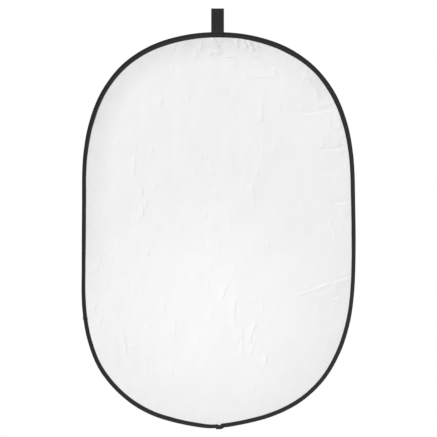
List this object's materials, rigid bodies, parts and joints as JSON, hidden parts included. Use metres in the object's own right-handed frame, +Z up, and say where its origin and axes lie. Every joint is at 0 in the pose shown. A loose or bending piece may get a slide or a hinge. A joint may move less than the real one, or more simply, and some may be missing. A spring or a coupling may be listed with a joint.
{
  "type": "collapsible reflector disc",
  "caption": "Collapsible oval light reflector: white and silver cloth in a bound spring steel rim, hung by a webbing loop.",
  "frame": {"origin": "where a hook or bar bears inside the top fold of the webbing loop, in the middle of the webbing's width", "axes": "+Z up along the hanging disc, +X to the right of someone facing the white side, -Y out of the white side"},
  "size_m": [1.0006, 0.013, 1.5397],
  "materials": {
    "white_cloth": "smooth white coated nylon, faint creases",
    "silver_cloth": "silver foil coated cloth, satin",
    "binding_tape": "black woven tape, matt",
    "webbing": "black webbing, matt",
    "spring_steel": "blued spring strip",
    "sleeve_steel": "crimped sleeve",
    "thread": "black thread"
  },
  "bodies": {
    "hang_tab": {"hang_loop": "webbing"},
    "rim_top": {"front_cloth_top": "white_cloth", "back_cloth_top": "silver_cloth", "binding_top": "binding_tape", "spring_band_top": "spring_steel", "tab_leg_front": "webbing", "tab_leg_back": "webbing", "tab_stitching_front": "thread", "tab_stitching_back": "thread"},
    "band_1": {"front_cloth_1": "white_cloth", "back_cloth_1": "silver_cloth", "binding_left_1": "binding_tape", "binding_right_1": "binding_tape", "spring_band_left_1": "spring_steel", "spring_band_right_1": "spring_steel"},
    "band_2": {"front_cloth_2": "white_cloth", "back_cloth_2": "silver_cloth", "binding_left_2": "binding_tape", "binding_right_2": "binding_tape", "spring_band_left_2": "spring_steel", "spring_band_right_2": "spring_steel"},
    "band_3": {"front_cloth_3": "white_cloth", "back_cloth_3": "silver_cloth", "binding_left_3": "binding_tape", "binding_right_3": "binding_tape", "spring_band_left_3": "spring_steel", "spring_band_right_3": "spring_steel"},
    "band_4": {"front_cloth_4": "white_cloth", "back_cloth_4": "silver_cloth", "binding_left_4": "binding_tape", "binding_right_4": "binding_tape", "spring_band_left_4": "spring_steel", "spring_band_right_4": "spring_steel"},
    "band_5": {"front_cloth_5": "white_cloth", "back_cloth_5": "silver_cloth", "binding_left_5": "binding_tape", "binding_right_5": "binding_tape", "spring_band_left_5": "spring_steel", "spring_band_right_5": "spring_steel"},
    "band_6": {"front_cloth_6": "white_cloth", "back_cloth_6": "silver_cloth", "binding_left_6": "binding_tape", "binding_right_6": "binding_tape", "spring_band_left_6": "spring_steel", "spring_band_right_6": "spring_steel"},
    "band_7": {"front_cloth_7": "white_cloth", "back_cloth_7": "silver_cloth", "binding_left_7": "binding_tape", "binding_right_7": "binding_tape", "spring_band_left_7": "spring_steel", "spring_band_right_7": "spring_steel"},
    "rim_bottom": {"front_cloth_bottom": "white_cloth", "back_cloth_bottom": "silver_cloth", "binding_left_bottom": "binding_tape", "binding_right_bottom": "binding_tape", "spring_band_left_bottom": "spring_steel", "spring_band_right_bottom": "spring_steel", "joint_wrap": "binding_tape", "splice_sleeve": "sleeve_steel"}
  },
  "joints": [
    {"name": "tab_swing", "type": "hinge", "parent": "hang_tab", "child": "rim_top", "pos_m": [0, 0, -0.0755], "axis": [1, 0, 0], "range_deg": [-110, 110]},
    {"name": "fold_1", "type": "hinge", "parent": "rim_top", "child": "band_1", "pos_m": [0.004, 0, -0.513], "axis": [1, 0, 0], "range_deg": [-22.5, 22.5], "stiffness_Nm_per_rad": 60},
    {"name": "fold_2", "type": "hinge", "parent": "band_1", "child": "band_2", "pos_m": [0.004, 0, -0.598], "axis": [1, 0, 0], "range_deg": [-22.5, 22.5]},
    {"name": "fold_3", "type": "hinge", "parent": "band_2", "child": "band_3", "pos_m": [0.004, 0, -0.683], "axis": [1, 0, 0], "range_deg": [-22.5, 22.5]},
    {"name": "fold_4", "type": "hinge", "parent": "band_3", "child": "band_4", "pos_m": [0.004, 0, -0.768], "axis": [1, 0, 0], "range_deg": [-22.5, 22.5]},
    {"name": "fold_5", "type": "hinge", "parent": "band_4", "child": "band_5", "pos_m": [0.004, 0, -0.853], "axis": [1, 0, 0], "range_deg": [-22.5, 22.5]},
    {"name": "fold_6", "type": "hinge", "parent": "band_5", "child": "band_6", "pos_m": [0.004, 0, -0.938], "axis": [1, 0, 0], "range_deg": [-22.5, 22.5]},
    {"name": "fold_7", "type": "hinge", "parent": "band_6", "child": "band_7", "pos_m": [0.004, 0, -1.023], "axis": [1, 0, 0], "range_deg": [-22.5, 22.5]},
    {"name": "fold_8", "type": "hinge", "parent": "band_7", "child": "rim_bottom", "pos_m": [0.004, 0, -1.108], "axis": [1, 0, 0], "range_deg": [-22.5, 22.5]}
  ],
  "couplings": [
    {"joint": "fold_2", "follows": "fold_1", "ratio": 1},
    {"joint": "fold_3", "follows": "fold_1", "ratio": 1},
    {"joint": "fold_4", "follows": "fold_1", "ratio": 1},
    {"joint": "fold_5", "follows": "fold_1", "ratio": 1},
    {"joint": "fold_6", "follows": "fold_1", "ratio": 1},
    {"joint": "fold_7", "follows": "fold_1", "ratio": 1},
    {"joint": "fold_8", "follows": "fold_1", "ratio": 1}
  ]
}
